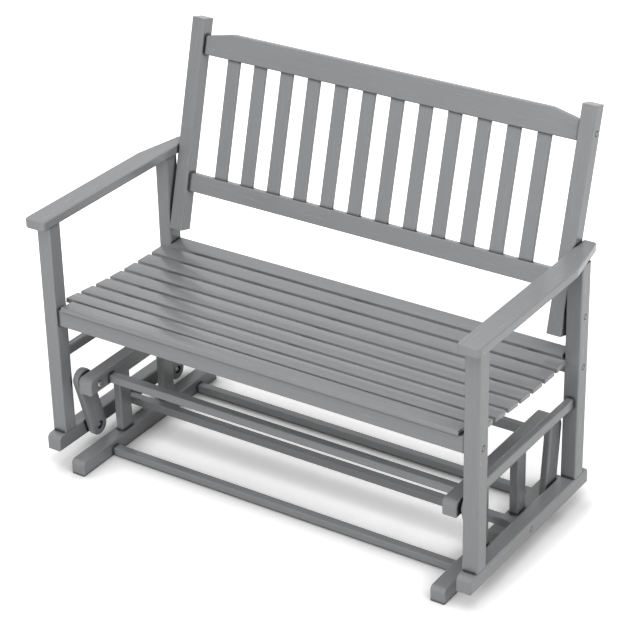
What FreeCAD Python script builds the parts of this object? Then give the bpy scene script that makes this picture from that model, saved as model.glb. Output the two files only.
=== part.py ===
import FreeCAD, Part
import math
import os

V = FreeCAD.Vector

# Frame timber, millimetres
timber_x = 38.0
leg_depth = 40.0
runner_height = 40.0
timber_edge = 3.5
small_edge = 3.0
joint_clearance = 0.1
tenon_depth = 12.0
contact_gap = 0.03
overrun = 1.0

# Moving bench, side frames: Y runs back from the front face of the front legs, Z up from under the runners,
# and an advance is a distance in front of the rear legs
leg_outer_half = 587.0
rear_leg_y = 452.0
runner_front_overhang = 25.0
runner_rear_overhang = 26.5
runner_corner = 13.0
leg_tenon_x = 16.0
leg_tenon_y = 22.0
arm_underside = 588.0
arm_thickness = 23.0
arm_outer_overhang = 13.0
arm_inner_overhang = 5.5
arm_front_overhang = 28.0
arm_rear_overhang = 46.0
arm_straight_part = 0.7615
arm_tail_taper = 25.0
arm_front_corner = 13.0
arm_bend_radius = 60.0
arm_tail_corner = 6.0
arm_edge = 3.5
side_rail_thickness = 18.0
side_rail_height = 24.5
side_rail_z = 228.5
side_rail_tenon_x = 10.0
side_rail_tenon_z = 16.5
cross_stretcher_section = 22.0

# Seat, dished to a circle, with its front slat eased towards level and its rear slat turned up
seat_low_advance = 75.0
seat_low_top = 357.5
seat_radius = 2480.0
seat_slat_count = 9
seat_slat_width = 45.0
seat_slat_thickness = 12.0
front_slat_setback = 1.9
rear_slat_advance = 6.8
seat_slat_end_setback = 23.0
front_slat_clearance = 14.0
front_slat_lift = 0.3
front_slat_turn = 3.0
rear_slat_clearance = 3.0
rear_slat_lift = 0.9
rear_slat_turn = 2.3
slat_edge = 2.5
apron_setback = 7.0
apron_thickness = 24.0
apron_height = 41.5
rear_rail_thickness = 22.0
rear_rail_height = 42.0
bearer_thickness = 22.0
bearer_inset = 79.0
bearer_front_depth = 47.0
bearer_rear_depth = 40.0

# Back, leaning from the seat
back_lean = 14.83
stile_foot_advance = 30.7
stile_foot_z = 339.2
stile_start = 71.0
stile_end = 597.5
stile_width = 37.0
stile_depth = 38.0
stile_leg_gap = 5.5
back_rail_setback = 10.3
back_rail_thickness = 20.0
lower_rail_start = 171.5
lower_rail_height = 45.5
crest_start = 510.5
crest_height = 62.0
crest_end_height = 46.0
crest_shoulder = 76.5
crest_bend_radius = 25.0
crest_edge = 4.0
rail_tenon_shoulder_y = 4.0
rail_tenon_shoulder_z = 8.0
back_slat_count = 12
back_slat_width = 35.0
back_slat_thickness = 10.0
back_slat_margin = 85.75
slat_tenon_depth = 10.0
slat_tenon_shoulder = 3.0

# Fixed base: Y from the same line as the bench at rest, Z up from the floor
base_leg_gap = 29.0
foot_height = 39.0
foot_front_overhang = 23.0
foot_rear_overhang = 32.0
foot_corner = 12.0
top_rail_bottom = 198.0
top_rail_height = 40.0
top_rail_front_y = 28.0
top_rail_rear_overlap = 19.0
top_rail_corner = 14.0
post_thickness = 21.0
post_depth = 41.0
front_post_y = 144.5
rear_post_advance = 136.5
post_tenon_shoulder = 5.0
stretcher_section = 22.0
floor_stretcher_bottom = 1.5
floor_stretcher_front_y = 89.5
floor_stretcher_rear_advance = 15.0
upper_stretcher_bottom = 203.0
upper_stretcher_front_y = 96.0
upper_stretcher_rear_advance = 58.5
stretcher_tenon = 12.0

# Swing links and their pivots
link_length = 154.0
link_width = 53.0
link_thickness = 20.0
link_chamfer = 3.0
link_front_angle = 15.25
top_pivot_front_y = 60.5
top_pivot_rear_advance = 14.0
low_pivot_front_y = 101.0
low_pivot_rear_advance = 33.0
pivot_shank = 8.0
pivot_running_clearance = 0.06
open_pivot_clearance = 2.9
pivot_hole_clearance = 0.15
face_clearance = 0.3
pivot_collar = 20.0
link_cover = 6.0
pocket_diameter = 21.0
pocket_depth = 7.0
dome_diameter = 16.0
dome_height = 4.5
pivot_head = 14.4
pivot_head_height = 5.0
pivot_chamfer = 1.0
runner_bite = 27.0

# Side bolts with painted heads sunk in the timber
bolt_shank = 7.0
bolt_hole_clearance = 0.15
bolt_head = 13.0
bolt_head_height = 4.0
bolt_crown = 1.5
bolt_recess = 14.5
bolt_recess_depth = 3.5
bolt_bite = 45.0
stile_bite = 28.0

os.makedirs("parts", exist_ok=True)


# Small shape makers
def box(x0, x1, y0, y1, z0, z1):
    return Part.makeBox(x1 - x0, y1 - y0, z1 - z0, V(x0, y0, z0))


def long_edges(shape, axis):
    found = []
    for edge in shape.Edges:
        if not isinstance(edge.Curve, (Part.Line, Part.LineSegment)):
            continue
        step = edge.Vertexes[1].Point - edge.Vertexes[0].Point
        step.normalize()
        if abs(abs(step.dot(axis)) - 1.0) < 1e-6:
            found.append(edge)
    return found


def stick(x0, x1, y0, y1, z0, z1, axis, radius):
    body = box(x0, x1, y0, y1, z0, z1)
    return body.makeFillet(radius, long_edges(body, axis))


def ring(points, radii):
    # closed outline through the points, each corner rounded by its own radius
    edges = []
    starts = []
    ends = []
    count = len(points)
    for i in range(count):
        before = points[i - 1]
        here = points[i]
        after = points[(i + 1) % count]
        radius = radii[i]
        to_before = (before - here).normalize()
        to_after = (after - here).normalize()
        if radius <= 0.0:
            starts.append(here)
            ends.append(here)
            continue
        half = math.acos(max(-1.0, min(1.0, to_before.dot(to_after)))) / 2.0
        reach = radius / math.tan(half)
        first = here + to_before * reach
        last = here + to_after * reach
        middle_way = (to_before + to_after).normalize()
        middle = here + middle_way * (radius / math.sin(half) - radius)
        edges.append((i, Part.Arc(first, middle, last).toShape()))
        starts.append(first)
        ends.append(last)
    arcs = dict(edges)
    wire = []
    for i in range(count):
        if i in arcs:
            wire.append(arcs[i])
        following = (i + 1) % count
        if (starts[following] - ends[i]).Length > 1e-6:
            wire.append(Part.makeLine(ends[i], starts[following]))
    return Part.Wire(wire)


def bar(points, radii, travel):
    # outline with rounded corners pushed along travel
    return Part.Face(ring(points, radii)).extrude(travel)


def slab(points, radii, travel, edge_radius):
    # the same with the edges of both its faces eased
    body = bar(points, radii, travel)
    way = V(travel).normalize()
    low = points[0].dot(way)
    high = low + travel.Length
    rims = []
    for edge in body.Edges:
        ends = [vertex.Point.dot(way) for vertex in edge.Vertexes]
        if all(abs(value - low) < 1e-6 for value in ends) or all(abs(value - high) < 1e-6 for value in ends):
            rims.append(edge)
    return body.makeFillet(edge_radius, rims)


def rod(start, way, radius, length):
    return Part.makeCylinder(radius, length, start, way)


def grown(x0, x1, y0, y1, z0, z1, c):
    return box(x0 - c, x1 + c, y0 - c, y1 + c, z0 - c, z1 + c)


def mirror_x(shape):
    return shape.mirror(V(0, 0, 0), V(1, 0, 0))


pieces = {}
bench_names = []
X_AXIS = V(1, 0, 0)
Y_AXIS = V(0, 1, 0)
Z_AXIS = V(0, 0, 1)

# Where the bench hangs at rest: the four-bar closed from the front link's angle
top_pivot_rear_y = rear_leg_y - top_pivot_rear_advance
top_pivot_z = top_rail_bottom + top_rail_height / 2.0
low_pivot_rear_y = rear_leg_y - low_pivot_rear_advance
low_pivot_spacing = low_pivot_rear_y - low_pivot_front_y
front_angle = math.radians(link_front_angle)
hang_y = top_pivot_front_y + link_length * math.sin(front_angle)
hang_z = top_pivot_z - link_length * math.cos(front_angle)
reach_y = top_pivot_rear_y - hang_y
reach_z = top_pivot_z - hang_z
reach = math.hypot(reach_y, reach_z)
corner_cosine = (low_pivot_spacing ** 2 + reach ** 2 - link_length ** 2) / (2.0 * low_pivot_spacing * reach)
corner = math.acos(corner_cosine)
bench_tilt = corner - math.atan2(reach_z, reach_y)
rear_low_y = hang_y + low_pivot_spacing * math.cos(bench_tilt)
rear_low_z = hang_z - low_pivot_spacing * math.sin(bench_tilt)
rear_angle = math.atan2(top_pivot_rear_y - rear_low_y, top_pivot_z - rear_low_z)
low_pivot_z = runner_height / 2.0


def hung(point):
    # a point of the bench's own frame, moved to where the bench hangs
    y = point.y - low_pivot_front_y
    z = point.z - low_pivot_z
    turned_y = y * math.cos(bench_tilt) + z * math.sin(bench_tilt)
    turned_z = z * math.cos(bench_tilt) - y * math.sin(bench_tilt)
    return V(point.x, hang_y + turned_y, hang_z + turned_z)


# Runners, legs and side rails
leg_inner_half = leg_outer_half - timber_x
leg_middle = leg_outer_half - timber_x / 2.0
arm_outer_half = leg_outer_half + arm_outer_overhang
base_outer_half = leg_inner_half - base_leg_gap
rear_leg_back = rear_leg_y + leg_depth
runner_y0 = -runner_front_overhang
runner_y1 = rear_leg_back + runner_rear_overhang
arm_top = arm_underside + arm_thickness

runner = slab(
    [
        V(leg_inner_half, runner_y0, 0),
        V(leg_inner_half, runner_y1, 0),
        V(leg_inner_half, runner_y1, runner_height),
        V(leg_inner_half, runner_y0, runner_height),
    ],
    [0, 0, runner_corner, runner_corner],
    V(timber_x, 0, 0),
    timber_edge,
)


def leg_at(y0):
    body = stick(
        leg_inner_half, leg_outer_half,
        y0, y0 + leg_depth,
        runner_height, arm_underside,
        Z_AXIS, timber_edge,
    )
    tenon_y0 = y0 + (leg_depth - leg_tenon_y) / 2.0
    tenon = (leg_middle - leg_tenon_x / 2.0, leg_middle + leg_tenon_x / 2.0, tenon_y0, tenon_y0 + leg_tenon_y)
    foot = box(*tenon, runner_height - tenon_depth, runner_height + overrun)
    head = box(*tenon, arm_underside - overrun, arm_underside + tenon_depth)
    sockets = [
        grown(*tenon, runner_height - tenon_depth, runner_height, joint_clearance),
        grown(*tenon, arm_underside, arm_underside + tenon_depth, joint_clearance),
    ]
    return body.fuse([foot, head]).removeSplitter(), sockets


front_leg, front_sockets = leg_at(0.0)
rear_leg, rear_sockets = leg_at(rear_leg_y)
runner = runner.cut([front_sockets[0], rear_sockets[0]])

side_x0 = leg_middle - side_rail_thickness / 2.0
side_x1 = leg_middle + side_rail_thickness / 2.0
side_z1 = side_rail_z + side_rail_height
side_rail = stick(side_x0, side_x1, leg_depth, rear_leg_y, side_rail_z, side_z1, Y_AXIS, small_edge)
side_tenon_z0 = side_rail_z + (side_rail_height - side_rail_tenon_z) / 2.0
side_tenon_z1 = side_tenon_z0 + side_rail_tenon_z
side_tenon = (leg_middle - side_rail_tenon_x / 2.0, leg_middle + side_rail_tenon_x / 2.0)
front_stub = (*side_tenon, leg_depth - tenon_depth, leg_depth, side_tenon_z0, side_tenon_z1)
rear_stub = (*side_tenon, rear_leg_y, rear_leg_y + tenon_depth, side_tenon_z0, side_tenon_z1)
side_rail = side_rail.fuse([box(*front_stub), box(*rear_stub)]).removeSplitter()
front_leg = front_leg.cut(grown(*front_stub, joint_clearance))
rear_leg = rear_leg.cut(grown(*rear_stub, joint_clearance))

# Armrest, tapering outside behind its middle
arm_y0 = -arm_front_overhang
arm_y1 = rear_leg_back + arm_rear_overhang
arm_inner = leg_inner_half - arm_inner_overhang
arm_taper_start = arm_y0 + arm_straight_part * (arm_y1 - arm_y0)
arm_tail_outer_half = arm_outer_half - arm_tail_taper
armrest = slab(
    [
        V(arm_inner, arm_y0, arm_underside),
        V(arm_outer_half, arm_y0, arm_underside),
        V(arm_outer_half, arm_taper_start, arm_underside),
        V(arm_tail_outer_half, arm_y1, arm_underside),
        V(arm_inner, arm_y1, arm_underside),
    ],
    [arm_front_corner, arm_front_corner, arm_bend_radius, arm_tail_corner, arm_tail_corner],
    V(0, 0, arm_thickness),
    arm_edge,
)
armrest = armrest.cut([front_sockets[1], rear_sockets[1]])


# Seat slats on their circle, spread from the front edge to the rear seat rail
rear_rail_middle = rear_leg_y + leg_depth / 2.0
seat_low_y = rear_leg_y - seat_low_advance
seat_slat_first_y = front_slat_setback + seat_slat_width / 2.0
seat_slat_pitch = (rear_rail_middle - rear_slat_advance - seat_slat_first_y) / (seat_slat_count - 1)


def seat_place(y):
    drop = math.sqrt(seat_radius ** 2 - (y - seat_low_y) ** 2)
    top = seat_low_top + seat_radius - drop
    return top, math.asin((y - seat_low_y) / seat_radius)


seat_under = []
for i in range(seat_slat_count):
    y = seat_slat_first_y + i * seat_slat_pitch
    top, slope = seat_place(y)
    half = leg_outer_half - seat_slat_end_setback
    if i == 0:
        half = leg_inner_half - front_slat_clearance
        top += front_slat_lift
        slope += math.radians(front_slat_turn)
    if i == seat_slat_count - 1:
        half = leg_inner_half - rear_slat_clearance
        top += rear_slat_lift
        slope += math.radians(rear_slat_turn)
    half_width = seat_slat_width / 2.0
    slat = stick(-half, half, -half_width, half_width, -seat_slat_thickness, 0, X_AXIS, slat_edge)
    slat.rotate(V(0, 0, 0), X_AXIS, math.degrees(slope))
    slat.translate(V(0, y, top))
    name = "seat_slat_%d" % (i + 1)
    pieces[name] = slat
    bench_names.append(name)
    for side in (-0.5, 0.5):
        across = side * seat_slat_width
        under_y = y + across * math.cos(slope) + seat_slat_thickness * math.sin(slope)
        under_z = top + across * math.sin(slope) - seat_slat_thickness * math.cos(slope)
        seat_under.append(V(0, under_y, under_z))


def under_height(y):
    # height of the slats' undersides over one point of the seat
    for i in range(len(seat_under) - 1):
        a = seat_under[i]
        b = seat_under[i + 1]
        if y <= b.y or i == len(seat_under) - 2:
            return a.z + (b.z - a.z) * (y - a.y) / (b.y - a.y)
    return seat_under[-1].z


def seat_rail(y0, y1, height):
    # a rail between the legs, its top planed to the slat that it carries
    top = under_height(y1) - contact_gap
    bottom = top - height
    shape = bar(
        [
            V(-leg_inner_half, y0, bottom),
            V(-leg_inner_half, y1, bottom),
            V(-leg_inner_half, y1, top),
            V(-leg_inner_half, y0, under_height(y0) - contact_gap),
        ],
        [small_edge] * 4,
        V(2.0 * leg_inner_half, 0, 0),
    )
    return shape, V(0, (y0 + y1) / 2.0, (bottom + top) / 2.0)


apron_y0 = apron_setback
apron_y1 = apron_setback + apron_thickness
seat_apron, apron_middle = seat_rail(apron_y0, apron_y1, apron_height)
rear_rail_y0 = rear_rail_middle - rear_rail_thickness / 2.0
rear_rail_y1 = rear_rail_middle + rear_rail_thickness / 2.0
rear_seat_rail, rear_rail_centre = seat_rail(rear_rail_y0, rear_rail_y1, rear_rail_height)

# Seat bearers, notched to the slats' undersides
bearer_line = [V(0, apron_y1, under_height(apron_y1))]
for point in seat_under:
    if apron_y1 < point.y < rear_rail_y0:
        bearer_line.append(point)
bearer_line.append(V(0, rear_rail_y0, under_height(rear_rail_y0)))
bearer_outline = list(bearer_line)
bearer_outline.append(V(0, rear_rail_y0, bearer_line[-1].z - bearer_rear_depth))
bearer_outline.append(V(0, apron_y1, bearer_line[0].z - bearer_front_depth))
bearer = Part.Face(Part.makePolygon(bearer_outline + [bearer_outline[0]])).extrude(V(bearer_thickness, 0, 0))

# Cross stretcher between the runners, midway along the legs' stand
cross_y0 = (rear_leg_back - cross_stretcher_section) / 2.0
cross_z0 = low_pivot_z - cross_stretcher_section / 2.0
cross_stretcher = stick(
    -leg_inner_half, leg_inner_half,
    cross_y0, cross_y0 + cross_stretcher_section,
    cross_z0, cross_z0 + cross_stretcher_section,
    X_AXIS, small_edge,
)

# The back is built upright, front face on Y = 0 and Z along the stiles, then leaned
lean = math.radians(back_lean)
stile_foot_y = rear_leg_y - stile_foot_advance
stile_outer = leg_inner_half - stile_leg_gap
stile_inner = stile_outer - stile_width


def leaned(shape):
    turned = shape.copy()
    turned.rotate(V(0, 0, 0), X_AXIS, -back_lean)
    turned.translate(V(0, stile_foot_y, stile_foot_z))
    return turned


def back_point(x, behind, along):
    y = stile_foot_y + along * math.sin(lean) + behind * math.cos(lean)
    z = stile_foot_z + along * math.cos(lean) - behind * math.sin(lean)
    return V(x, y, z)


rail_y0 = back_rail_setback
rail_y1 = back_rail_setback + back_rail_thickness
lower_rail_end = lower_rail_start + lower_rail_height
crest_end = crest_start + crest_height
crest_low_end = crest_start + crest_end_height
stile = stick(stile_inner, stile_outer, 0, stile_depth, stile_start, stile_end, Z_AXIS, timber_edge)
lower_stub = (
    stile_inner, stile_inner + tenon_depth,
    rail_y0 + rail_tenon_shoulder_y, rail_y1 - rail_tenon_shoulder_y,
    lower_rail_start + rail_tenon_shoulder_z, lower_rail_end - rail_tenon_shoulder_z,
)
stile = stile.cut(grown(*lower_stub, joint_clearance))

lower_rail = stick(
    -stile_inner, stile_inner,
    rail_y0, rail_y1,
    lower_rail_start, lower_rail_end,
    X_AXIS, small_edge,
)
lower_rail = lower_rail.fuse([box(*lower_stub), mirror_x(box(*lower_stub))]).removeSplitter()
crest_kink = stile_inner - crest_shoulder
crest_rail = slab(
    [
        V(-stile_inner, rail_y0, crest_start),
        V(stile_inner, rail_y0, crest_start),
        V(stile_inner, rail_y0, crest_low_end),
        V(crest_kink, rail_y0, crest_end),
        V(-crest_kink, rail_y0, crest_end),
        V(-stile_inner, rail_y0, crest_low_end),
    ],
    [0, 0, 0, crest_bend_radius, crest_bend_radius, 0],
    V(0, back_rail_thickness, 0),
    crest_edge,
)

slat_y0 = (rail_y0 + rail_y1 - back_slat_thickness) / 2.0
slat_y1 = slat_y0 + back_slat_thickness
back_slat_pitch = 2.0 * (stile_inner - back_slat_margin) / (back_slat_count - 1)
back_slats = []
for i in range(back_slat_count):
    x = (i - (back_slat_count - 1) / 2.0) * back_slat_pitch
    x0 = x - back_slat_width / 2.0
    x1 = x + back_slat_width / 2.0
    body = stick(x0, x1, slat_y0, slat_y1, lower_rail_end, crest_start, Z_AXIS, slat_edge)
    stub = (
        x0 + slat_tenon_shoulder, x1 - slat_tenon_shoulder,
        slat_y0 + slat_tenon_shoulder, slat_y1 - slat_tenon_shoulder,
    )
    low_stub = (*stub, lower_rail_end - slat_tenon_depth, lower_rail_end)
    high_stub = (*stub, crest_start, crest_start + slat_tenon_depth)
    lower_rail = lower_rail.cut(grown(*low_stub, joint_clearance))
    crest_rail = crest_rail.cut(grown(*high_stub, joint_clearance))
    back_slats.append(body.fuse([box(*low_stub), box(*high_stub)]).removeSplitter())

# Side bolts, with a collar where they cross a gap between two pieces
hole_radius = bolt_shank / 2.0 + bolt_hole_clearance


def side_bolt(face_x, point, through, gap, bite):
    # a bolt along -X from the outer face at face_x, with its bore and its head's recess
    seat = V(face_x - bolt_recess_depth, point.y, point.z)
    length = through - bolt_recess_depth + gap + bite
    crown_x = bolt_head_height - bolt_crown
    head_radius = bolt_head / 2.0
    head = rod(seat, X_AXIS, head_radius, crown_x)
    crown = Part.makeCone(head_radius, head_radius - bolt_crown, bolt_crown, seat + X_AXIS * crown_x, X_AXIS)
    parts = [crown, rod(seat, -X_AXIS, bolt_shank / 2.0, length)]
    if gap > 0.0:
        parts.append(rod(V(face_x - through, point.y, point.z), -X_AXIS, bolt_shank, gap))
    bore = rod(seat + X_AXIS * overrun, -X_AXIS, hole_radius, length + overrun + bolt_hole_clearance)
    recess = rod(seat, X_AXIS, bolt_recess / 2.0, bolt_recess_depth + overrun)
    return head.fuse(parts).removeSplitter(), [bore, recess]


cross_centre = V(0, rear_leg_back / 2.0, low_pivot_z)
stile_bolt_along = (rear_rail_middle - stile_foot_y - stile_depth / 2.0 * math.cos(lean)) / math.sin(lean)
stile_bolt_point = back_point(0, stile_depth / 2.0, stile_bolt_along)
crest_bolt_point = back_point(0, (rail_y0 + rail_y1) / 2.0, crest_start + crest_end_height / 2.0)

apron_bolt, apron_cuts = side_bolt(leg_outer_half, apron_middle, timber_x, 0.0, bolt_bite)
rear_bolt, rear_cuts = side_bolt(leg_outer_half, rear_rail_centre, timber_x, 0.0, bolt_bite)
cross_bolt, cross_cuts = side_bolt(leg_outer_half, cross_centre, timber_x, 0.0, bolt_bite)
crest_bolt, crest_cuts = side_bolt(stile_outer, crest_bolt_point, stile_width, 0.0, bolt_bite)
stile_bolt, stile_cuts = side_bolt(leg_outer_half, stile_bolt_point, timber_x, stile_leg_gap, stile_bite)

front_leg = front_leg.cut(apron_cuts)
rear_leg = rear_leg.cut(rear_cuts + stile_cuts)
runner = runner.cut(cross_cuts)
stile = leaned(stile).cut(crest_cuts + [stile_cuts[0]])
crest_rail = leaned(crest_rail).cut([crest_cuts[0], mirror_x(crest_cuts[0])])
seat_apron = seat_apron.cut([apron_cuts[0], mirror_x(apron_cuts[0])])
rear_seat_rail = rear_seat_rail.cut([rear_cuts[0], mirror_x(rear_cuts[0])])
cross_stretcher = cross_stretcher.cut([cross_cuts[0], mirror_x(cross_cuts[0])])

# Base rails, posts and stretchers
foot_front_y = -foot_front_overhang
foot_rear_y = rear_leg_back + foot_rear_overhang
top_rail_rear_y = rear_leg_y + top_rail_rear_overlap
rear_post_y = rear_leg_y - rear_post_advance
base_inner_half = base_outer_half - timber_x
base_middle = base_outer_half - timber_x / 2.0
top_rail_top = top_rail_bottom + top_rail_height
foot_rail = slab(
    [
        V(base_inner_half, foot_front_y, 0),
        V(base_inner_half, foot_rear_y, 0),
        V(base_inner_half, foot_rear_y, foot_height),
        V(base_inner_half, foot_front_y, foot_height),
    ],
    [0, 0, foot_corner, foot_corner],
    V(timber_x, 0, 0),
    timber_edge,
)
top_rail = slab(
    [
        V(base_inner_half, top_rail_front_y, top_rail_bottom),
        V(base_inner_half, top_rail_rear_y, top_rail_bottom),
        V(base_inner_half, top_rail_rear_y, top_rail_top),
        V(base_inner_half, top_rail_front_y, top_rail_top),
    ],
    [0, 0, top_rail_corner, top_rail_corner],
    V(timber_x, 0, 0),
    timber_edge,
)
posts = {}
for place, y0 in (("front", front_post_y), ("rear", rear_post_y)):
    post_x0 = base_middle - post_thickness / 2.0
    post_x1 = base_middle + post_thickness / 2.0
    post = stick(post_x0, post_x1, y0, y0 + post_depth, foot_height, top_rail_bottom, Z_AXIS, small_edge)
    stub = (
        post_x0 + post_tenon_shoulder, post_x1 - post_tenon_shoulder,
        y0 + post_tenon_shoulder, y0 + post_depth - post_tenon_shoulder,
    )
    low_stub = (*stub, foot_height - tenon_depth, foot_height)
    high_stub = (*stub, top_rail_bottom, top_rail_bottom + tenon_depth)
    posts[place] = post.fuse([box(*low_stub), box(*high_stub)]).removeSplitter()
    foot_rail = foot_rail.cut(grown(*low_stub, joint_clearance))
    top_rail = top_rail.cut(grown(*high_stub, joint_clearance))

stretchers = {}
stretcher_plan = (
    ("floor_stretcher_front", floor_stretcher_front_y, floor_stretcher_bottom),
    ("floor_stretcher_rear", rear_leg_y - floor_stretcher_rear_advance, floor_stretcher_bottom),
    ("upper_stretcher_front", upper_stretcher_front_y, upper_stretcher_bottom),
    ("upper_stretcher_rear", rear_leg_y - upper_stretcher_rear_advance, upper_stretcher_bottom),
)
for name, y0, z0 in stretcher_plan:
    body = stick(
        -base_inner_half, base_inner_half,
        y0, y0 + stretcher_section, z0, z0 + stretcher_section,
        X_AXIS, small_edge,
    )
    shoulder = (stretcher_section - stretcher_tenon) / 2.0
    stub = (
        base_inner_half, base_inner_half + tenon_depth,
        y0 + shoulder, y0 + shoulder + stretcher_tenon,
        z0 + shoulder, z0 + shoulder + stretcher_tenon,
    )
    stretchers[name] = body.fuse([box(*stub), mirror_x(box(*stub))]).removeSplitter()
    if name.startswith("floor"):
        foot_rail = foot_rail.cut(grown(*stub, joint_clearance))
    else:
        top_rail = top_rail.cut(grown(*stub, joint_clearance))

# Links hang between the base rails and the runners
side_space = leg_inner_half - base_outer_half
link_gap = (side_space - link_thickness) / 2.0
link_x0 = base_outer_half + link_gap
link_x1 = link_x0 + link_thickness
shank_radius = pivot_shank / 2.0
running_radius = shank_radius + pivot_running_clearance
open_radius = shank_radius + open_pivot_clearance
link_half = link_width / 2.0


def link(low_radius):
    # drawn hanging straight down from its upper pivot at the origin
    high_left = V(link_x0, -link_half, 0)
    high_right = V(link_x0, link_half, 0)
    low_left = V(link_x0, -link_half, -link_length)
    low_right = V(link_x0, link_half, -link_length)
    outline = Part.Wire([
        Part.makeLine(low_left, high_left),
        Part.Arc(high_left, V(link_x0, 0, link_half), high_right).toShape(),
        Part.makeLine(high_right, low_right),
        Part.Arc(low_right, V(link_x0, 0, -link_length - link_half), low_left).toShape(),
    ])
    body = Part.Face(outline).extrude(V(link_thickness, 0, 0))
    rims = []
    for edge in body.Edges:
        xs = [vertex.Point.x for vertex in edge.Vertexes]
        if max(xs) - min(xs) < 1e-6:
            rims.append(edge)
    body = body.makeChamfer(link_chamfer, rims)
    high_start = V(link_x0 - overrun, 0, 0)
    low_start = V(link_x0 - overrun, 0, -link_length)
    return body.cut([
        rod(high_start, X_AXIS, running_radius, overrun + link_thickness - link_cover),
        rod(low_start, X_AXIS, low_radius, link_thickness + 2.0 * overrun),
        rod(low_start, X_AXIS, pocket_diameter / 2.0, overrun + pocket_depth),
    ])


front_link = link(running_radius)
front_link.rotate(V(0, 0, 0), X_AXIS, math.degrees(front_angle))
front_link.translate(V(0, top_pivot_front_y, top_pivot_z))
rear_link = link(open_radius)
rear_link.rotate(V(0, 0, 0), X_AXIS, -math.degrees(rear_angle))
rear_link.translate(V(0, top_pivot_rear_y, top_pivot_z))


# Upper pivot bolt: dome inside the rail, collar in the gap, journal in the link's blind bore
def upper_bolt(y):
    dome_x = base_inner_half - dome_height
    sphere_radius = ((dome_diameter / 2.0) ** 2 + dome_height ** 2) / (2.0 * dome_height)
    half_span = math.asin(dome_diameter / 2.0 / sphere_radius) / 2.0
    halfway = V(dome_x + sphere_radius * (1.0 - math.cos(half_span)), sphere_radius * math.sin(half_span), 0)
    dome_rim = V(base_inner_half, dome_diameter / 2.0, 0)
    collar_x1 = link_x0 - face_clearance
    end = link_x1 - link_cover - face_clearance
    corners = [
        V(dome_x, 0, 0),
        V(end, 0, 0),
        V(end, shank_radius, 0),
        V(collar_x1, shank_radius, 0),
        V(collar_x1, pivot_collar / 2.0, 0),
        V(base_outer_half, pivot_collar / 2.0, 0),
        V(base_outer_half, shank_radius, 0),
        V(base_inner_half, shank_radius, 0),
        dome_rim,
    ]
    edges = [Part.makeLine(a, b) for a, b in zip(corners, corners[1:])]
    edges.append(Part.Arc(dome_rim, halfway, V(dome_x, 0, 0)).toShape())
    bolt = Part.Face(Part.Wire(edges)).revolve(V(0, 0, 0), X_AXIS, 360)
    bolt.translate(V(0, y, top_pivot_z))
    return bolt


# Lower pivot bolt: head in the link's inner pocket, collar in the gap, thread in the runner
def lower_bolt(y):
    head_x1 = link_x0 + pocket_depth - face_clearance
    head_x0 = head_x1 - pivot_head_height
    collar_x0 = link_x1 + face_clearance
    end = leg_inner_half + runner_bite
    corners = [
        V(head_x0, 0, 0),
        V(head_x0, pivot_head / 2.0 - pivot_chamfer, 0),
        V(head_x0 + pivot_chamfer, pivot_head / 2.0, 0),
        V(head_x1, pivot_head / 2.0, 0),
        V(head_x1, shank_radius, 0),
        V(collar_x0, shank_radius, 0),
        V(collar_x0, pivot_collar / 2.0, 0),
        V(leg_inner_half, pivot_collar / 2.0, 0),
        V(leg_inner_half, shank_radius, 0),
        V(end, shank_radius, 0),
        V(end, 0, 0),
        V(head_x0, 0, 0),
    ]
    bolt = Part.Face(Part.makePolygon(corners)).revolve(V(0, 0, 0), X_AXIS, 360)
    bolt.translate(V(0, y, low_pivot_z))
    return bolt


bore_radius = shank_radius + pivot_hole_clearance
for y in (top_pivot_front_y, top_pivot_rear_y):
    start = V(base_inner_half - overrun, y, top_pivot_z)
    top_rail = top_rail.cut(rod(start, X_AXIS, bore_radius, timber_x + 2.0 * overrun))
for y in (low_pivot_front_y, low_pivot_rear_y):
    start = V(leg_inner_half - overrun, y, low_pivot_z)
    runner = runner.cut(rod(start, X_AXIS, bore_radius, overrun + runner_bite + pivot_hole_clearance))


# Everything named, right side drawn and left side mirrored
def pair(name, shape, on_bench):
    for side, body in (("right", shape), ("left", mirror_x(shape))):
        full = "%s_%s" % (name, side)
        pieces[full] = body
        if on_bench:
            bench_names.append(full)


def single(name, shape):
    pieces[name] = shape
    bench_names.append(name)


pair("runner", runner, True)
pair("front_leg", front_leg, True)
pair("rear_leg", rear_leg, True)
pair("side_rail", side_rail, True)
pair("armrest", armrest, True)
pair("back_stile", stile, True)
single("seat_apron", seat_apron)
single("rear_seat_rail", rear_seat_rail)
single("cross_stretcher", cross_stretcher)
single("lower_back_rail", leaned(lower_rail))
single("crest_rail", crest_rail)
bearer_offset = leg_inner_half - bearer_inset
for name, x in (("left", -bearer_offset), ("middle", 0.0), ("right", bearer_offset)):
    body = bearer.copy()
    body.translate(V(x - bearer_thickness / 2.0, 0, 0))
    single("seat_bearer_" + name, body)
for i, body in enumerate(back_slats):
    single("back_slat_%02d" % (i + 1), leaned(body))
pair("foot_rail", foot_rail, False)
pair("top_rail", top_rail, False)
pair("front_post", posts["front"], False)
pair("rear_post", posts["rear"], False)
pair("front_link", front_link, False)
pair("rear_link", rear_link, False)
pieces.update(stretchers)

upper_bolts = [upper_bolt(top_pivot_front_y), upper_bolt(top_pivot_rear_y)]
upper_bolts += [mirror_x(body) for body in upper_bolts]
pieces["upper_pivot_bolts"] = Part.makeCompound(upper_bolts)
lower_bolts = [lower_bolt(low_pivot_front_y), lower_bolt(low_pivot_rear_y)]
lower_bolts += [mirror_x(body) for body in lower_bolts]
single("lower_pivot_bolts", Part.makeCompound(lower_bolts))
side_bolts = [apron_bolt, rear_bolt, cross_bolt, crest_bolt, stile_bolt]
side_bolts += [mirror_x(body) for body in side_bolts]
single("bench_bolts", Part.makeCompound(side_bolts))

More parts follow.
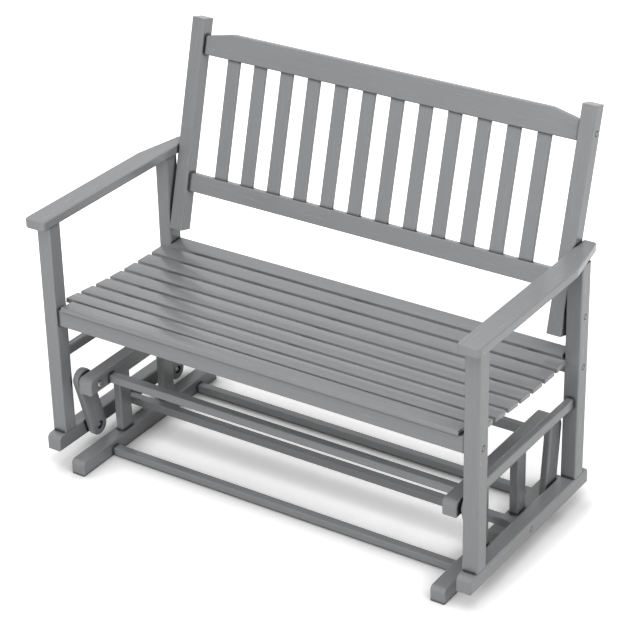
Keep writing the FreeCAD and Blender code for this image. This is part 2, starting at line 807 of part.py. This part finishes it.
# The bench is hung on its links, then the whole is centred over the floor
hang = FreeCAD.Placement(V(0, 0, 0), FreeCAD.Rotation(X_AXIS, -math.degrees(bench_tilt)))
front_edge = min(hung(V(0, runner_y0, 0)).y, foot_front_y, hung(V(0, arm_y0, arm_underside)).y)
rear_edge = max(hung(back_point(0, stile_depth, stile_end)).y, foot_rear_y)
centre_y = (front_edge + rear_edge) / 2.0
for name in sorted(pieces):
    shape = pieces[name]
    if name in bench_names:
        shape.translate(V(0, -low_pivot_front_y, -low_pivot_z))
        shape = shape.transformed(hang.toMatrix(), True)
        shape.translate(V(0, hang_y, hang_z))
    shape.translate(V(0, -centre_y, 0))
    shape.exportStep("parts/%s.step" % name)
    pieces[name] = shape

highest = hung(back_point(0, 0, stile_end)).z
print("overall width %.1f depth %.1f height %.1f" % (2.0 * arm_outer_half, rear_edge - front_edge, highest))
print("centre_y %.4f" % centre_y)
print("bench tilt %.4f rear link %.4f degrees" % (math.degrees(bench_tilt), math.degrees(rear_angle)))
print("front low pivot y %.4f z %.4f" % (hang_y - centre_y, hang_z))
print("rear low pivot y %.4f z %.4f" % (rear_low_y - centre_y, rear_low_z))
for name in sorted(pieces):
    shape = pieces[name]
    if not shape.isValid() or any(solid.Volume <= 0 for solid in shape.Solids):
        print("check", name, shape.isValid(), len(shape.Solids))
print(len(pieces), "nodes", sum(len(shape.Solids) for shape in pieces.values()), "solids")
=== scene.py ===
import math

import bmesh
import bpy
from mathutils import Matrix, Vector


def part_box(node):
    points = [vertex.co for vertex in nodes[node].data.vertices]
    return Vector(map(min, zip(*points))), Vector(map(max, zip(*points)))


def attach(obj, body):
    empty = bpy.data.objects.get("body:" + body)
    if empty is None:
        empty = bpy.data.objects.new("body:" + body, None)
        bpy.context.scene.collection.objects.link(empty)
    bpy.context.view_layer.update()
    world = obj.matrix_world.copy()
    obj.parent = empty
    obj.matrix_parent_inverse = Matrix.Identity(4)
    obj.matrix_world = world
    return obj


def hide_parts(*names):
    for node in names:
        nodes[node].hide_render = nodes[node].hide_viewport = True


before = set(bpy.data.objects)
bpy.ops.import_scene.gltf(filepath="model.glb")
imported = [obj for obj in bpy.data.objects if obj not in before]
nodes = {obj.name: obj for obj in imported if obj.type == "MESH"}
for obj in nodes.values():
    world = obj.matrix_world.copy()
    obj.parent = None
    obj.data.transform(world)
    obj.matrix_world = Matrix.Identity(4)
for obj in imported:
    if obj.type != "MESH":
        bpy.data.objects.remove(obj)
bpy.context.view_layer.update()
scene = bpy.context.scene

# Camera: where the photographer stood, in metres, degrees and pixels of a 640 pixel frame
camera_place = Vector((2.5783, -3.81559, 2.9442))
camera_azimuth = math.radians(34.093)
camera_elevation = math.radians(28.789)
camera_roll = math.radians(-1.686)
focal_pixels = 2272.4
frame_pixels = 640.0
sensor_width = 36.0
view_end = 50.0

# Softboxes: name, azimuth from the front (-Y) towards +X and elevation in degrees, and power in watts
lamps = (
    ("key", 45.0, 60.0, 80.0),
    ("front", 0.0, 17.0, 68.0),
    ("right", 90.0, 25.0, 47.0),
    ("back", 225.0, 60.0, 44.0),
    ("left", 270.0, 60.0, 24.0),
    ("front_left", 315.0, 60.0, 12.0),
)
lamp_target = Vector((0.0, 0.0, 0.4))
lamp_distance = 4.0
lamp_size = 2.6

# World and floor: what lights the bench, and the white that is seen behind and below it; the floor's glow is
# dimmer near the bench and beside what stands on it, as painted shade
white = (1.0, 1.0, 1.0, 1.0)
sky_light = 0.05
sky_white = 1.0
floor_half = 30.0
floor_bounce = 0.5
floor_white = 0.93
floor_glow = 0.5
floor_glow_far = 1.0
glow_near_radius = 0.8
glow_far_radius = 1.5
# painted contact shadow on the floor's glow: how far it reaches and how deep it is
painted_shadow_reach = 0.07
painted_shadow_depth = 4.0

# Timber paint: linear grey with a satin to gloss finish; painted shade darkens it in joints and gaps, where it
# is also duller
paint_colour = (0.262, 0.266, 0.272, 1.0)
paint_roughness = 0.24
paint_gloss = 0.5
# the painted shade in joints and gaps: its samples, reach, depth and darkest tone, and the roughness there
painted_shade_samples = 8
painted_shade_reach = 0.008
painted_shade_depth = 4.0
painted_shade_darkest = 0.08
joint_roughness = 0.6

# Patterns in the paint: stretch along the grain, features per metre across it, and detail
streak_noise = (0.05, 300.0, 4.0)
band_noise = (0.05, 110.0, 3.0)
cloud_noise = (0.3, 11.0, 2.0)
peel_noise = (1.0, 700.0, 2.0)
noise_floor = 0.3
noise_ceiling = 0.7
streak_tones = (0.97, 1.02)
band_tones = (0.985, 1.012)
cloud_tones = (0.98, 1.02)
streak_dullness = (-0.03, 0.04)
streak_relief = 0.25
band_relief = 0.1
peel_relief = 0.06
relief_strength = 0.35
relief_depth = 0.00008

# Pivot steel: scuffed between two linear greys and two roughnesses
steel_dark = (0.30, 0.30, 0.29)
steel_light = (0.46, 0.46, 0.445)
steel_roughness = (0.22, 0.42)
scuff_scale = 700.0

# Lean of the back and tilt of the hanging bench
back_lean = math.radians(14.83)
bench_tilt = math.radians(0.7646)

# Pivots at rest on both sides, as (y, z): each link's upper and lower one
front_upper = (-0.2382577, 0.218)
front_lower = (-0.1977509, 0.0694228)
rear_upper = (0.1392423, 0.218)
rear_lower = (0.1202208, 0.0651792)

# Swing links: they hang between the upper rails and the runners
link_length = 0.154
link_width = 0.053
link_inner_x = 0.5245
link_outer_x = 0.5445
link_round = 0.0055
link_round_steps = 6
link_sides = 64
bore_radius = 0.00406
open_bore_radius = 0.0069
blind_depth = 0.014
pocket_radius = 0.0105
pocket_depth = 0.007
pocket_softening = 0.0008

# Pivot bolts: dome, shank and collar above, sunk head, shank and collar below
shank_radius = 0.004
collar_radius = 0.010
face_clearance = 0.0003
rail_inner_x = 0.482
rail_outer_x = 0.520
runner_inner_x = 0.549
runner_bite = 0.027
dome_radius = 0.008
dome_height = 0.0045
dome_round = 0.0042
dome_round_steps = 8
head_radius = 0.0058
head_height = 0.0038
head_round = 0.0012
head_round_steps = 3
socket_radius = 0.0027
socket_depth = 0.0026
socket_sides = 6

# Seat slats: planed, with small crisp arrises
slat_count = 9
slat_width = 0.045
slat_front_trim = 0.0001
slat_rear_trim = 0.0013
slat_thickness = 0.012
slat_arris = 0.0009
slat_arris_steps = 3

# Working values: facets round a bore, overlap of a cut, width of a weld and shading of edges
bore_sides = 48
cut_overlap = 0.001
weld = 1e-6
flat_side = 0.003
upward = 0.7
link_crease = math.radians(28.0)
bolt_crease = math.radians(35.0)
slat_crease = math.radians(50.0)
quarter = math.pi / 2.0
full_turn = 2.0 * math.pi


# Camera, light and floor
def make_camera():
    look = Vector((
        -math.sin(camera_azimuth) * math.cos(camera_elevation),
        math.cos(camera_azimuth) * math.cos(camera_elevation),
        -math.sin(camera_elevation),
    ))
    level_right = Vector((math.cos(camera_azimuth), math.sin(camera_azimuth), 0.0))
    level_up = level_right.cross(look)
    right = level_right * math.cos(camera_roll) + level_up * math.sin(camera_roll)
    up = level_up * math.cos(camera_roll) - level_right * math.sin(camera_roll)
    turn = Matrix((right, up, -look)).transposed()
    data = bpy.data.cameras.new("camera")
    data.sensor_width = sensor_width
    data.sensor_fit = "HORIZONTAL"
    data.lens = focal_pixels * sensor_width / frame_pixels
    data.clip_end = view_end
    camera = bpy.data.objects.new("camera", data)
    camera.matrix_world = Matrix.Translation(camera_place) @ turn.to_4x4()
    scene.collection.objects.link(camera)
    scene.camera = camera


def make_lamp(name, azimuth, elevation, watts):
    # a softbox turned towards the bench, which lights it and doesn't show in its gloss
    data = bpy.data.lights.new(name, "AREA")
    data.shape = "SQUARE"
    data.size = lamp_size
    data.energy = watts
    lamp = bpy.data.objects.new(name, data)
    around = math.radians(azimuth)
    above = math.radians(elevation)
    outward = Vector((
        math.sin(around) * math.cos(above),
        -math.cos(around) * math.cos(above),
        math.sin(above),
    ))
    lamp.location = lamp_target + outward * lamp_distance
    lamp.rotation_euler = (-outward).to_track_quat("-Z", "Y").to_euler()
    lamp.visible_glossy = False
    scene.collection.objects.link(lamp)


def node_tree(owner):
    owner.use_nodes = True
    tree = owner.node_tree
    tree.nodes.clear()
    return tree


def math_node(tree, operation, first, second):
    # each side is a number or another node's output
    node = tree.nodes.new("ShaderNodeMath")
    node.operation = operation
    for socket, value in zip(node.inputs, (first, second)):
        if isinstance(value, float):
            socket.default_value = value
        else:
            tree.links.new(value, socket)
    return node.outputs["Value"]


def map_range(tree, value, low, high, start=0.0, end=1.0, interpolation="LINEAR"):
    # goes from low to high as the value goes from start to end
    node = tree.nodes.new("ShaderNodeMapRange")
    node.interpolation_type = interpolation
    node.inputs["From Min"].default_value = start
    node.inputs["From Max"].default_value = end
    node.inputs["To Min"].default_value = low
    node.inputs["To Max"].default_value = high
    tree.links.new(value, node.inputs["Value"])
    return node.outputs["Result"]


def seen_rays(tree):
    # one for what is looked at, reflected or seen through glass, and nought for what only lights
    path = tree.nodes.new("ShaderNodeLightPath")
    looked_at = path.outputs["Is Camera Ray"]
    reflected = math_node(tree, "MAXIMUM", looked_at, path.outputs["Is Glossy Ray"])
    return math_node(tree, "MAXIMUM", reflected, path.outputs["Is Transmission Ray"])


def make_world():
    world = bpy.data.worlds.new("studio")
    scene.world = world
    tree = node_tree(world)
    add = tree.nodes.new
    link = tree.links.new
    out = add("ShaderNodeOutputWorld")
    mix = add("ShaderNodeMixShader")
    link(seen_rays(tree), mix.inputs["Fac"])
    for strength, socket in ((sky_light, mix.inputs[1]), (sky_white, mix.inputs[2])):
        sky = add("ShaderNodeBackground")
        sky.inputs["Color"].default_value = white
        sky.inputs["Strength"].default_value = strength
        link(sky.outputs["Background"], socket)
    link(mix.outputs["Shader"], out.inputs["Surface"])


def make_floor():
    shape = bmesh.new()
    bmesh.ops.create_grid(shape, x_segments=1, y_segments=1, size=floor_half)
    mesh = bpy.data.meshes.new("studio_floor")
    shape.to_mesh(mesh)
    shape.free()
    floor = bpy.data.objects.new("studio_floor", mesh)
    scene.collection.objects.link(floor)
    material = bpy.data.materials.new("studio_floor")
    tree = node_tree(material)
    add = tree.nodes.new
    link = tree.links.new
    out = add("ShaderNodeOutputMaterial")
    both = add("ShaderNodeAddShader")
    matt = add("ShaderNodeBsdfDiffuse")
    glow = add("ShaderNodeEmission")
    # the floor glows for what is looked at or reflected: weaker near the bench, which paints shade round it,
    # full further out, and dimmed beside whatever stands on it as a painted contact shadow
    where = add("ShaderNodeTexCoord")
    away = add("ShaderNodeVectorMath")
    away.operation = "LENGTH"
    link(where.outputs["Object"], away.inputs[0])
    glow_level = map_range(
        tree, away.outputs["Value"], floor_glow, floor_glow_far,
        start=glow_near_radius, end=glow_far_radius, interpolation="SMOOTHSTEP",
    )
    open_sky = add("ShaderNodeAmbientOcclusion")
    open_sky.inputs["Distance"].default_value = painted_shadow_reach
    painted_contact_shadow = math_node(tree, "POWER", open_sky.outputs["AO"], painted_shadow_depth)
    glow_level = math_node(tree, "MULTIPLY", glow_level, painted_contact_shadow)
    seen = seen_rays(tree)
    link(map_range(tree, seen, floor_bounce, floor_white), matt.inputs["Color"])
    link(math_node(tree, "MULTIPLY", seen, glow_level), glow.inputs["Strength"])
    link(matt.outputs["BSDF"], both.inputs[0])
    link(glow.outputs["Emission"], both.inputs[1])
    link(both.outputs["Shader"], out.inputs["Surface"])
    mesh.materials.append(material)


# Materials
def timber_group():
    # sprayed paint over faint straight grain; the grain runs along the group's own X
    group = bpy.data.node_groups.new("paint_over_grain", "ShaderNodeTree")
    group.interface.new_socket("Along", in_out="INPUT", socket_type="NodeSocketVector")
    group.interface.new_socket("Paint", in_out="INPUT", socket_type="NodeSocketColor")
    group.interface.new_socket("Colour", in_out="OUTPUT", socket_type="NodeSocketColor")
    group.interface.new_socket("Roughness", in_out="OUTPUT", socket_type="NodeSocketFloat")
    group.interface.new_socket("Height", in_out="OUTPUT", socket_type="NodeSocketFloat")
    add = group.nodes.new
    link = group.links.new
    given = add("NodeGroupInput")
    made = add("NodeGroupOutput")

    def noise(stretch, scale, detail):
        place = add("ShaderNodeMapping")
        place.inputs["Scale"].default_value = (stretch, 1.0, 1.0)
        link(given.outputs["Along"], place.inputs["Vector"])
        pattern = add("ShaderNodeTexNoise")
        pattern.inputs["Scale"].default_value = scale
        pattern.inputs["Detail"].default_value = detail
        link(place.outputs["Vector"], pattern.inputs["Vector"])
        return pattern.outputs["Fac"]

    def ranged(pattern, ends):
        return map_range(group, pattern, ends[0], ends[1], start=noise_floor, end=noise_ceiling)

    streaks = noise(*streak_noise)
    bands = noise(*band_noise)
    cloud = noise(*cloud_noise)
    peel = noise(*peel_noise)

    # painted shade: the colour darkens in joints and the gaps between slats, where parts close in, and the
    # paint is duller there
    nearness = add("ShaderNodeAmbientOcclusion")
    nearness.samples = painted_shade_samples
    nearness.inputs["Distance"].default_value = painted_shade_reach
    openness = math_node(group, "POWER", nearness.outputs["AO"], painted_shade_depth)

    tone = math_node(group, "MULTIPLY", ranged(streaks, streak_tones), ranged(bands, band_tones))
    tone = math_node(group, "MULTIPLY", tone, ranged(cloud, cloud_tones))
    # painted shade: the colour is darkened by the occlusion mask
    tone = math_node(group, "MULTIPLY", tone, map_range(group, openness, painted_shade_darkest, 1.0))
    tint = add("ShaderNodeVectorMath")
    tint.operation = "SCALE"
    link(given.outputs["Paint"], tint.inputs[0])
    link(tone, tint.inputs["Scale"])
    link(tint.outputs["Vector"], made.inputs["Colour"])

    dullness = map_range(group, openness, joint_roughness, paint_roughness)
    dullness = math_node(group, "ADD", ranged(streaks, streak_dullness), dullness)
    link(dullness, made.inputs["Roughness"])

    height = math_node(group, "MULTIPLY", streaks, streak_relief)
    for pattern, relief in ((bands, band_relief), (peel, peel_relief)):
        height = math_node(group, "ADD", height, math_node(group, "MULTIPLY", pattern, relief))
    link(height, made.inputs["Height"])
    return group


def painted_timber(name, turn, group):
    # the turn brings the piece's length onto the group's X
    material = bpy.data.materials.new(name)
    tree = node_tree(material)
    add = tree.nodes.new
    link = tree.links.new
    out = add("ShaderNodeOutputMaterial")
    shader = add("ShaderNodeBsdfPrincipled")
    shader.inputs["Specular IOR Level"].default_value = paint_gloss
    where = add("ShaderNodeTexCoord")
    turned_place = add("ShaderNodeMapping")
    turned_place.inputs["Rotation"].default_value = turn
    paint = add("ShaderNodeGroup")
    paint.node_tree = group
    paint.inputs["Paint"].default_value = paint_colour
    bump = add("ShaderNodeBump")
    bump.inputs["Strength"].default_value = relief_strength
    bump.inputs["Distance"].default_value = relief_depth
    link(where.outputs["Object"], turned_place.inputs["Vector"])
    link(turned_place.outputs["Vector"], paint.inputs["Along"])
    link(paint.outputs["Colour"], shader.inputs["Base Color"])
    link(paint.outputs["Roughness"], shader.inputs["Roughness"])
    link(paint.outputs["Height"], bump.inputs["Height"])
    link(bump.outputs["Normal"], shader.inputs["Normal"])
    link(shader.outputs["BSDF"], out.inputs["Surface"])
    return material


def pivot_steel():
    material = bpy.data.materials.new("pivot_steel")
    tree = node_tree(material)
    add = tree.nodes.new
    link = tree.links.new
    out = add("ShaderNodeOutputMaterial")
    shader = add("ShaderNodeBsdfPrincipled")
    shader.inputs["Metallic"].default_value = 1.0
    where = add("ShaderNodeTexCoord")
    scuff = add("ShaderNodeTexNoise")
    scuff.inputs["Scale"].default_value = scuff_scale
    tint = add("ShaderNodeMapRange")
    tint.data_type = "FLOAT_VECTOR"
    ends = {socket.identifier: socket for socket in tint.inputs}
    ends["To_Min_FLOAT3"].default_value = steel_dark
    ends["To_Max_FLOAT3"].default_value = steel_light
    link(where.outputs["Object"], scuff.inputs["Vector"])
    link(scuff.outputs["Color"], tint.inputs["Vector"])
    link(tint.outputs["Vector"], shader.inputs["Base Color"])
    link(map_range(tree, scuff.outputs["Fac"], *steel_roughness), shader.inputs["Roughness"])
    link(shader.outputs["BSDF"], out.inputs["Surface"])
    return material


def dress(mesh, material):
    mesh.materials.clear()
    mesh.materials.append(material)


# Shaping: pieces drawn for the right-hand side, put in their place and mirrored for the left
def finished(name, shape, side, place):
    bmesh.ops.transform(shape, matrix=place, verts=shape.verts)
    if side < 0.0:
        bmesh.ops.scale(shape, vec=(-1.0, 1.0, 1.0), verts=shape.verts)
    bmesh.ops.remove_doubles(shape, verts=shape.verts, dist=weld)
    bmesh.ops.recalc_face_normals(shape, faces=shape.faces)
    mesh = bpy.data.meshes.new(name)
    shape.to_mesh(mesh)
    shape.free()
    piece = bpy.data.objects.new(name, mesh)
    scene.collection.objects.link(piece)
    return piece


def discard(piece):
    mesh = piece.data
    bpy.data.objects.remove(piece)
    bpy.data.meshes.remove(mesh)


def round_edges(shape, edges, offset, steps):
    bmesh.ops.bevel(shape, geom=edges, offset=offset, segments=steps, profile=0.5, affect="EDGES", material=-1)


def cutter(start_x, end_x, start_radius, end_radius, height, sides):
    # a round or six-sided cutter along X
    shape = bmesh.new()
    middle = Matrix.Translation(((start_x + end_x) / 2.0, 0.0, height))
    bmesh.ops.create_cone(
        shape, cap_ends=True, segments=sides, radius1=start_radius, radius2=end_radius,
        depth=end_x - start_x, matrix=middle @ Matrix.Rotation(quarter, 4, "Y"),
    )
    return shape


def drill(piece, shape, side, place):
    tool = finished("cutter", shape, side, place)
    cut = piece.modifiers.new("bore", "BOOLEAN")
    cut.operation = "DIFFERENCE"
    cut.solver = "EXACT"
    cut.object = tool
    drilled = bpy.data.meshes.new_from_object(piece.evaluated_get(bpy.context.evaluated_depsgraph_get()))
    piece.modifiers.clear()
    blank = piece.data
    piece.data = drilled
    bpy.data.meshes.remove(blank)
    drilled.name = piece.name
    discard(tool)


def smooth(mesh, crease):
    # broad flat faces stay flat, so that the rounded edges alone turn the light
    for face in mesh.polygons:
        corners = [mesh.vertices[index].co for index in face.vertices]
        shortest = min((a - b).length for a, b in zip(corners, corners[1:] + corners[:1]))
        face.use_smooth = len(corners) <= 4 and shortest < flat_side
    mesh.set_sharp_from_angle(angle=crease)


# Pieces
def lean_of(upper, lower):
    # a link's lean from plumb
    return math.atan2(lower[0] - upper[0], upper[1] - lower[1])


def swing_link(name, upper, lower, low_bore, side, material):
    # drawn hanging straight down from its upper pivot, then leaned to its lower one
    place = Matrix.Translation((0.0, upper[0], upper[1])) @ Matrix.Rotation(lean_of(upper, lower), 4, "X")
    inner_face = Matrix.Translation((link_inner_x, 0.0, 0.0)) @ Matrix.Rotation(quarter, 4, "Y")
    half_step = Matrix.Rotation(math.pi / link_sides, 4, "Z")
    shape = bmesh.new()
    bmesh.ops.create_circle(
        shape, cap_ends=True, radius=link_width / 2.0, segments=link_sides, matrix=inner_face @ half_step,
    )
    lower_half = [vert for vert in shape.verts if vert.co.z < 0.0]
    bmesh.ops.translate(shape, verts=lower_half, vec=(0.0, 0.0, -link_length))
    made = bmesh.ops.extrude_face_region(shape, geom=shape.faces[:])["geom"]
    raised = [item for item in made if isinstance(item, bmesh.types.BMVert)]
    bmesh.ops.translate(shape, verts=raised, vec=(link_outer_x - link_inner_x, 0.0, 0.0))
    rims = [edge for edge in shape.edges if any(len(face.verts) > 4 for face in edge.link_faces)]
    round_edges(shape, rims, link_round, link_round_steps)
    piece = finished(name, shape, side, place)

    # blind bore above; pocket with a softened mouth and through bore below
    outside = link_inner_x - cut_overlap
    mouth = link_inner_x - pocket_softening
    mouth_end = link_inner_x + pocket_softening
    mouth_radius = pocket_radius + 2.0 * pocket_softening
    for start, end, first, last, height in (
        (outside, link_inner_x + blind_depth, bore_radius, bore_radius, 0.0),
        (outside, link_inner_x + pocket_depth, pocket_radius, pocket_radius, -link_length),
        (mouth, mouth_end, mouth_radius, pocket_radius, -link_length),
        (outside, link_outer_x + cut_overlap, low_bore, low_bore, -link_length),
    ):
        drill(piece, cutter(start, end, first, last, height, bore_sides), side, place)
    smooth(piece.data, link_crease)
    dress(piece.data, material)
    return piece


def seat_slat(name, node, material):
    # lies where its node lies, at the node's own slope
    tops = [face for face in nodes[node].data.polygons if face.normal.z > upward]
    top = max(tops, key=lambda face: face.area)
    slope = math.atan2(-top.normal.y, top.normal.z)
    low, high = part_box(node)
    middle = (Vector(low) + Vector(high)) / 2.0
    place = Matrix.Translation((0.0, middle.y, middle.z)) @ Matrix.Rotation(slope, 4, "X")
    planed_width = slat_width - slat_front_trim - slat_rear_trim
    planed_shift = (slat_front_trim - slat_rear_trim) / 2.0
    shape = bmesh.new()
    bmesh.ops.create_cube(shape, size=1.0)
    bmesh.ops.scale(shape, vec=(high[0] - low[0], planed_width, slat_thickness), verts=shape.verts)
    bmesh.ops.translate(shape, vec=(0.0, planed_shift, 0.0), verts=shape.verts)
    round_edges(shape, shape.edges[:], slat_arris, slat_arris_steps)
    piece = finished(name, shape, 1.0, place)
    smooth(piece.data, slat_crease)
    dress(piece.data, material)
    return piece


def turned(outline, rim_x, rim_radius, rounding, steps):
    # a solid of revolution about X from (x, radius) corners, with one rim rounded
    shape = bmesh.new()
    corners = [shape.verts.new((x, 0.0, radius)) for x, radius in outline]
    for first, second in zip(corners, corners[1:]):
        shape.edges.new((first, second))
    bmesh.ops.spin(
        shape, geom=shape.verts[:] + shape.edges[:], cent=(0.0, 0.0, 0.0), axis=(1.0, 0.0, 0.0),
        angle=full_turn, steps=bore_sides, use_merge=True,
    )
    bmesh.ops.remove_doubles(shape, verts=shape.verts, dist=weld)

    def on_rim(vert):
        radius = math.hypot(vert.co.y, vert.co.z)
        return abs(vert.co.x - rim_x) < weld and abs(radius - rim_radius) < weld

    rim = [edge for edge in shape.edges if all(on_rim(vert) for vert in edge.verts)]
    round_edges(shape, rim, rounding, steps)
    return shape


def pivot_bolts(name, outline, rim_x, rim_radius, rounding, steps, pivots, material):
    # one bolt at each pivot on both sides, with a six-sided socket in its head, all in one piece
    whole_shape = bmesh.new()
    for pivot in pivots:
        place = Matrix.Translation((0.0, pivot[0], pivot[1]))
        for side in (1.0, -1.0):
            bolt = finished("bolt", turned(outline, rim_x, rim_radius, rounding, steps), side, place)
            socket = cutter(
                rim_x - cut_overlap, rim_x + socket_depth, socket_radius, socket_radius, 0.0, socket_sides,
            )
            drill(bolt, socket, side, place)
            whole_shape.from_mesh(bolt.data)
            discard(bolt)
    mesh = bpy.data.meshes.new(name)
    whole_shape.to_mesh(mesh)
    whole_shape.free()
    smooth(mesh, bolt_crease)
    dress(mesh, material)
    whole = bpy.data.objects.new(name, mesh)
    scene.collection.objects.link(whole)
    return whole


make_camera()
make_world()
for lamp_name, azimuth, elevation, watts in lamps:
    make_lamp(lamp_name, azimuth, elevation, watts)
make_floor()

grain = timber_group()
front_lean = lean_of(front_upper, front_lower)
rear_lean = lean_of(rear_upper, rear_lower)
along_x = painted_timber("painted_timber_across", (0.0, 0.0, 0.0), grain)
along_y = painted_timber("painted_timber_fore_aft", (0.0, 0.0, -quarter), grain)
upright = painted_timber("painted_timber_upright", (0.0, quarter, 0.0), grain)
leaning = painted_timber("painted_timber_leaning", (back_lean + bench_tilt, quarter, 0.0), grain)
along_front_link = painted_timber("painted_timber_front_link", (-front_lean, quarter, 0.0), grain)
along_rear_link = painted_timber("painted_timber_rear_link", (-rear_lean, quarter, 0.0), grain)
steel = pivot_steel()

# Nodes by the first words of their names; all others lie across the bench
material_of = {}
for material, stems in (
    (along_y, ("runner", "side_rail", "armrest", "foot_rail", "top_rail", "seat_bearer")),
    (upright, ("front_leg", "rear_leg", "front_post", "rear_post")),
    (leaning, ("back_stile", "back_slat")),
    (along_front_link, ("front_link",)),
    (along_rear_link, ("rear_link",)),
    (steel, ("upper_pivot", "lower_pivot")),
):
    for stem in stems:
        material_of[stem] = material
for name in nodes:
    stem = name.rsplit("_", 1)[0]
    dress(nodes[name].data, material_of.get(stem, along_x))

for number in range(1, slat_count + 1):
    node = "seat_slat_%d" % number
    piece = seat_slat("planed_" + node, node, along_x)
    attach(piece, "bench")
    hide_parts(node)

for side_name, side in (("left", -1.0), ("right", 1.0)):
    for end, upper, lower, low_bore, material in (
        ("front", front_upper, front_lower, bore_radius, along_front_link),
        ("rear", rear_upper, rear_lower, open_bore_radius, along_rear_link),
    ):
        node = "%s_link_%s" % (end, side_name)
        piece = swing_link("rounded_" + node, upper, lower, low_bore, side, material)
        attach(piece, end + "_links")
        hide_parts(node)

# The upper bolts' outline, from the dome's face into the link's blind bore
dome_face_x = rail_inner_x - dome_height
upper_collar_end_x = link_inner_x - face_clearance
upper_end_x = link_inner_x + blind_depth - face_clearance
upper_outline = (
    (dome_face_x, 0.0),
    (dome_face_x, dome_radius),
    (rail_inner_x, dome_radius),
    (rail_inner_x, shank_radius),
    (rail_outer_x, shank_radius),
    (rail_outer_x, collar_radius),
    (upper_collar_end_x, collar_radius),
    (upper_collar_end_x, shank_radius),
    (upper_end_x, shank_radius),
    (upper_end_x, 0.0),
)

# The lower bolts' outline, from the head in the link's pocket into the runner
head_end_x = link_inner_x + pocket_depth - face_clearance
head_face_x = head_end_x - head_height
lower_collar_x = link_outer_x + face_clearance
lower_end_x = runner_inner_x + runner_bite
lower_outline = (
    (head_face_x, 0.0),
    (head_face_x, head_radius),
    (head_end_x, head_radius),
    (head_end_x, shank_radius),
    (lower_collar_x, shank_radius),
    (lower_collar_x, collar_radius),
    (runner_inner_x, collar_radius),
    (runner_inner_x, shank_radius),
    (lower_end_x, shank_radius),
    (lower_end_x, 0.0),
)

domed_bolts = pivot_bolts(
    "domed_pivot_bolts", upper_outline, dome_face_x, dome_radius, dome_round, dome_round_steps,
    (front_upper, rear_upper), steel,
)
sunk_bolts = pivot_bolts(
    "sunk_pivot_bolts", lower_outline, head_face_x, head_radius, head_round, head_round_steps,
    (front_lower, rear_lower), steel,
)
for piece, node, body in (
    (domed_bolts, "upper_pivot_bolts", "base"),
    (sunk_bolts, "lower_pivot_bolts", "bench"),
):
    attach(piece, body)
    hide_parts(node)

scene.view_settings.view_transform = "Standard"
